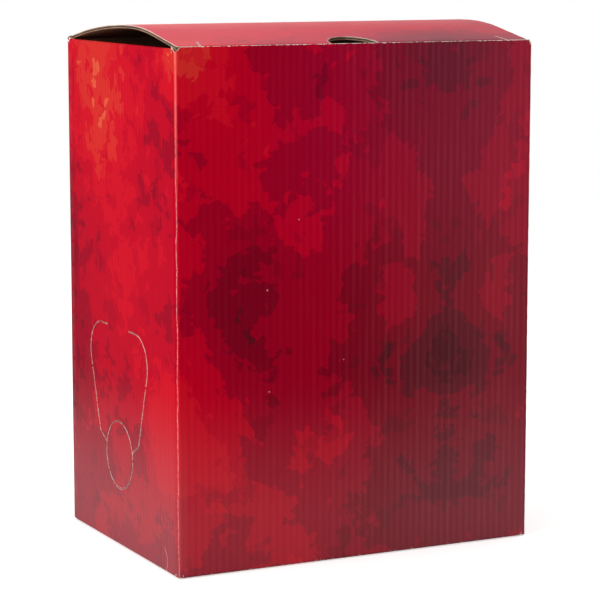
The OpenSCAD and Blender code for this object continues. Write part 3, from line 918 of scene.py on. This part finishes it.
def lid_path():
    """Middle ply in the YZ plane, from the tuck flap's end to the hinge.

    Gives its points, its normals and the distances from the crease.
    """
    low = math.pi / 2 + TUCK_LEAN
    turns = np.linspace(low, RAMP_ANGLE, 13)
    arc = np.stack([CREASE_Y - CREASE_R * np.sin(turns), CREASE_Z + CREASE_R * np.cos(turns)], 1)
    down = np.array([math.sin(TUCK_LEAN), -math.cos(TUCK_LEAN)])
    reach = np.linspace(TUCK_LENGTH - FOLD_OUT, 0, 20)[:-1]
    tuck = arc[0] + reach[:, None] * down
    y = np.linspace(arc[-1, 0], hinge.y, 160)[1:]
    panel = np.stack([y, hinge.z + bow(y)], 1)
    points = np.concatenate([tuck, arc, panel])
    way = np.gradient(points, axis=0)
    way[:len(tuck)] = -down
    way /= np.linalg.norm(way, axis=1)[:, None]
    normals = np.stack([-way[:, 1], way[:, 0]], 1)
    steps = np.concatenate([[0], np.cumsum(np.linalg.norm(np.diff(points, axis=0), axis=1))])
    first, last = len(tuck), len(tuck) + len(arc) - 1
    return points, normals, steps - (steps[first] + steps[last]) / 2


PATH, PATH_NORMALS, PATH_REACH = lid_path()
CREASE_HALF = CREASE_R * (math.pi / 2 + TUCK_LEAN - RAMP_ANGLE) / 2
LID_END = PATH_REACH[-1]
TAB_RUN = CREASE_Y - CREASE_R * math.sin(RAMP_ANGLE) - TUCK_FACE_Y - SLIT_WIDTH / 2
TAB_END = CREASE_HALF - TAB_RUN / math.cos(RAMP_ANGLE)


def nick_x(reach):
    """Middle of the nick at a distance behind the crease."""
    return SLIT_X - (reach - TAB_END) * math.tan(NICK_TURN)


def place_on_lid(flat):
    """Outer points and normals of the lid and its tuck flap."""
    x, reach = flat[:, 0], flat[:, 1]
    y = np.interp(reach, PATH_REACH, PATH[:, 0])
    z = np.interp(reach, PATH_REACH, PATH[:, 1])
    ny = np.interp(reach, PATH_REACH, PATH_NORMALS[:, 0])
    nz = np.interp(reach, PATH_REACH, PATH_NORMALS[:, 1])
    tab = (np.abs(x) > nick_x(reach)) & (reach < CREASE_HALF) & (reach > TAB_END - SLIT_WIDTH / 2)
    back = CREASE_HALF - reach
    start_y = CREASE_Y - CREASE_R * math.sin(RAMP_ANGLE)
    start_z = CREASE_Z + CREASE_R * math.cos(RAMP_ANGLE)
    y = np.where(tab, start_y - back * math.cos(RAMP_ANGLE), y)
    z = np.where(tab, start_z - back * math.sin(RAMP_ANGLE), z)
    ny = np.where(tab, -math.sin(RAMP_ANGLE), ny)
    nz = np.where(tab, math.cos(RAMP_ANGLE), nz)
    normals = np.stack([np.zeros_like(x), ny, nz], 1)
    normals /= np.linalg.norm(normals, axis=1)[:, None]
    return np.stack([x, y, z], 1) + normals * BOARD / 2, normals


def lid_outline():
    """The lid and its tuck flap, anticlockwise from the tuck flap's lower left corner."""
    low = PATH_REACH[0]
    shoulder = -CREASE_HALF - SLIT_WIDTH
    half_nick = NICK_WIDTH / 2
    inner = TAB_END + (NICK_LENGTH + SLIT_WIDTH) * math.cos(NICK_TURN)
    right = polar((LID_HALF - TUCK_ROUND, low + TUCK_ROUND), TUCK_ROUND, -90, 0, 10)
    right += [(LID_HALF, shoulder), (nick_x(shoulder) - half_nick, shoulder)]
    right += [(nick_x(inner) - half_nick, inner), (nick_x(inner) + half_nick, inner)]
    right += [(nick_x(TAB_END) + half_nick, TAB_END), (LID_HALF, TAB_END), (LID_HALF, LID_END)]
    return right + [(-x, v) for x, v in right[::-1]]


def lid_lattice():
    """Points on the flutes, and closer ones over the front crease."""
    coarse = flute_lattice(-LID_HALF, LID_HALF, PATH_REACH[0], LID_END, LID_ROW)
    coarse = coarse[np.abs(coarse[:, 1]) > CREASE_HALF + 0.6]
    x = np.arange(-LID_HALF, LID_HALF, FLUTE_PITCH / 2)
    fine = np.stack(np.meshgrid(x, np.linspace(-1, 1, 7) * CREASE_HALF), -1).reshape(-1, 2)
    return np.concatenate([coarse, fine])


def lid_print(flat):
    """The lid carries on the front wall's print."""
    return np.stack([flat[:, 0] + FRONT_MIDDLE, flat[:, 1] + RIM_Z], 1)


notch = polar((NOTCH_X, 0.3), NOTCH_R, 0, 360, 48)[:-1]
lid_blank = cut_blank(lid_outline(), [notch], lid_lattice(), LID_EDGE)
sheet_lid = fold_up("lid_sheet", lid_blank, place_on_lid, lid_print, None,
                    lambda flat: -0.6 * washboard(flat))
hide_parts("lid")
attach(sheet_lid, "lid")


# Hinge fold

def hinge_fold():
    """The sheet's bend from the back wall into the lid."""
    slope = 2 * LID_RISE / (hinge.y - CROWN_Y)
    lid_angle = math.atan(slope)
    bend = 0.45
    turn_total = math.pi / 2 - lid_angle
    centre = np.array([hinge.y - bend, hinge.z - 0.35])
    path, normals = [], []
    for z in (BACK_TOP_Z - 0.5, BACK_TOP_Z, centre[1] - 0.2):
        path.append((hinge.y, z))
        normals.append((1.0, 0.0))
    for turn in np.linspace(0, turn_total, 9):
        n = np.array([math.cos(turn), math.sin(turn)])
        path.append(tuple(centre + bend * n))
        normals.append(tuple(n))
    end = np.array([hinge.y - 1.2, hinge.z + float(bow(np.array(hinge.y - 1.2)))])
    path.append(tuple(end))
    normals.append((math.sin(lid_angle), math.cos(lid_angle)))
    path, normals = np.array(path), np.array(normals)
    grow = 0.03
    outer = path + normals * (BOARD / 2 + grow)
    inner = path - normals * (BOARD / 2 + grow)
    middle = inner[2:-1]
    pinch = np.array([hinge.y - BOARD / 2 - grow, hinge.z - 0.6])
    inner[3:-1] = pinch + (middle[1:] - pinch) * 0.25
    column = FLUTE_PITCH / 4
    count = math.floor(LID_HALF / column)
    xs = np.arange(-count, count + 1) * column
    tip = HALF_W - 0.3
    ends = tip - 1.4 * (1 - np.sin(np.radians((0, 25, 50, 75, 90))))
    xs = np.concatenate([-ends[::-1], xs, ends])
    heart = (outer + inner).mean(0) / 2
    rows = len(path)
    verts, sheet = [], []
    for x in xs:
        ripple = WASHBOARD * math.cos(2 * math.pi * x / FLUTE_PITCH)
        past = min(max((abs(x) - tip + 1.4) / 1.4, 0), 1)
        plump = max(math.sqrt(1 - past * past), 0.25)
        for k in range(rows):
            y, z = heart + (outer[k] + normals[k] * ripple - heart) * plump
            verts.append((x, y, z))
            sheet.append((SEAM_HIGH - FOLD_ARC / 2 - FLAT_X - x, outer[k, 1]))
        for k in range(rows):
            y, z = heart + (inner[k] - heart) * plump
            verts.append((x, y, z))
            sheet.append((SEAM_HIGH, inner[k, 1]))
    faces, kinds = [], []
    ring = 2 * rows
    for i in range(len(xs) - 1):
        a, b = i * ring, (i + 1) * ring
        for k in range(rows - 1):
            faces.append((a + k, a + k + 1, b + k + 1, b + k))
            kinds.append(0)
            faces.append((a + rows + k, b + rows + k, b + rows + k + 1, a + rows + k + 1))
            kinds.append(1)
        faces.append((a, b, b + rows, a + rows))
        kinds.append(3)
        faces.append((a + rows - 1, a + 2 * rows - 1, b + 2 * rows - 1, b + rows - 1))
        kinds.append(3)
    for a, flip in ((0, False), ((len(xs) - 1) * ring, True)):
        for k in range(rows - 1):
            face = (a + k, a + rows + k, a + rows + k + 1, a + k + 1)
            faces.append(face[::-1] if flip else face)
            kinds.append(3)
    return make_mesh("hinge_fold", np.array(verts), faces, kinds, np.array(sheet))


fold = hinge_fold()
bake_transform(fold)


# Glue flap

def glue_outline():
    """The glue flap from its fold, with sloping ends."""
    low = FOLD_OUT + 2 * BOARD
    top = TOP_Z - 2 * BOARD
    return [(0, low), (GLUE_WIDTH, low + GLUE_SLOPE), (GLUE_WIDTH, top - GLUE_SLOPE), (0, top)]


def place_glue(flat):
    """The glue flap lies inside the back wall and starts at the right wall."""
    x = HALF_W - BOARD - 0.02 - flat[:, 0]
    y = np.full(len(flat), HALF_D - BOARD - 0.02)
    return np.stack([x, y, flat[:, 1]], 1), np.tile([0.0, 1.0, 0.0], (len(flat), 1))


glue_blank = cut_blank(glue_outline(), [], flute_lattice(0, GLUE_WIDTH, 0, TOP_Z, GLUE_ROW), GLUE_EDGE)
glue = fold_up("glue_flap", glue_blank, place_glue, lambda flat: flat + np.array([BACK_START, 0]))
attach(glue, "carton")


# Look

def look_camera():
    """The camera at the photograph's viewing angle."""
    azimuth, elevation = math.radians(-26.53), math.radians(8.49)
    back = Vector((math.sin(azimuth) * math.cos(elevation),
                   -math.cos(azimuth) * math.cos(elevation), math.sin(elevation)))
    data = bpy.data.cameras.new("photo_camera")
    data.sensor_width = 36.0
    data.lens = 143.54
    data.clip_start = 0.01
    data.clip_end = 50.0
    camera = bpy.data.objects.new("photo_camera", data)
    bpy.context.scene.collection.objects.link(camera)
    camera.location = (-0.52559, -1.05685, 0.29216)
    camera.rotation_euler = back.to_track_quat("Z", "Y").to_euler()
    bpy.context.scene.camera = camera


def seen_directly(tree):
    """1 where the camera, a gloss or a glass sees the surface, and 0 where it only lights the object."""
    path = tree.nodes.new("ShaderNodeLightPath")
    seen = path.outputs["Is Camera Ray"]
    for name in ("Is Glossy Ray", "Is Transmission Ray"):
        either = tree.nodes.new("ShaderNodeMath")
        either.operation = "MAXIMUM"
        tree.links.new(seen, either.inputs[0])
        tree.links.new(path.outputs[name], either.inputs[1])
        seen = either.outputs[0]
    return seen


def studio():
    """White surroundings, a pale floor and three soft lamps."""
    world = bpy.data.worlds.new("studio")
    bpy.context.scene.world = world
    world.use_nodes = True
    tree = world.node_tree
    lit = tree.nodes["Background"]
    lit.inputs[0].default_value = (1.0, 0.98, 0.96, 1)
    lit.inputs[1].default_value = 0.45
    white = tree.nodes.new("ShaderNodeBackground")
    white.inputs[0].default_value = (1, 1, 1, 1)
    white.inputs[1].default_value = 1.0
    mix = tree.nodes.new("ShaderNodeMixShader")
    tree.links.new(seen_directly(tree), mix.inputs[0])
    tree.links.new(lit.outputs[0], mix.inputs[1])
    tree.links.new(white.outputs[0], mix.inputs[2])
    tree.links.new(mix.outputs[0], tree.nodes["World Output"].inputs[0])

    mesh = bpy.data.meshes.new("floor")
    reach = 1.2
    corners = [(-reach, -reach, 0), (reach, -reach, 0), (reach, reach, 0), (-reach, reach, 0)]
    mesh.from_pydata(corners, [], [(0, 1, 2, 3)])
    floor = bpy.data.objects.new("floor", mesh)
    floor.location.z = -0.0002
    bpy.context.scene.collection.objects.link(floor)
    g = Graph("floor")
    g.shader.inputs["Base Color"].default_value = (0.9, 0.9, 0.9, 1)
    g.shader.inputs["Roughness"].default_value = 0.9
    glow = g.add("ShaderNodeEmission")
    glow.inputs[0].default_value = (1, 1, 1, 1)
    g.plug(glow.inputs[1], g.math("MULTIPLY", seen_directly(g.tree), 0.45))
    lifted = g.add("ShaderNodeAddShader")
    g.plug(lifted.inputs[0], g.shader.outputs[0])
    g.plug(lifted.inputs[1], glow.outputs[0])
    g.plug(g.tree.nodes["Material Output"].inputs[0], lifted.outputs[0])
    mesh.materials.append(g.material)

    def lamp(name, place, aim, size, power, colour):
        data = bpy.data.lights.new(name, "AREA")
        data.shape = "RECTANGLE"
        data.size, data.size_y = size
        data.energy = power
        data.color = colour
        light = bpy.data.objects.new(name, data)
        light.location = place
        light.rotation_euler = (Vector(place) - Vector(aim)).to_track_quat("Z", "Y").to_euler()
        bpy.context.scene.collection.objects.link(light)

    lamp("left_soft", (-1.5, -0.35, 0.75), (0, 0, 0.12), (1.0, 1.0), 17, (1.0, 0.99, 0.97))
    lamp("front_soft", (-0.5, -1.9, 1.2), (0, 0, 0.12), (1.2, 0.9), 8, (1.0, 1.0, 1.0))
    lamp("top_soft", (0.2, 0.3, 1.5), (0, 0, 0.12), (1.2, 1.2), 7, (1.0, 1.0, 1.0))


look_camera()
studio()

bpy.context.scene.view_settings.view_transform = "Standard"
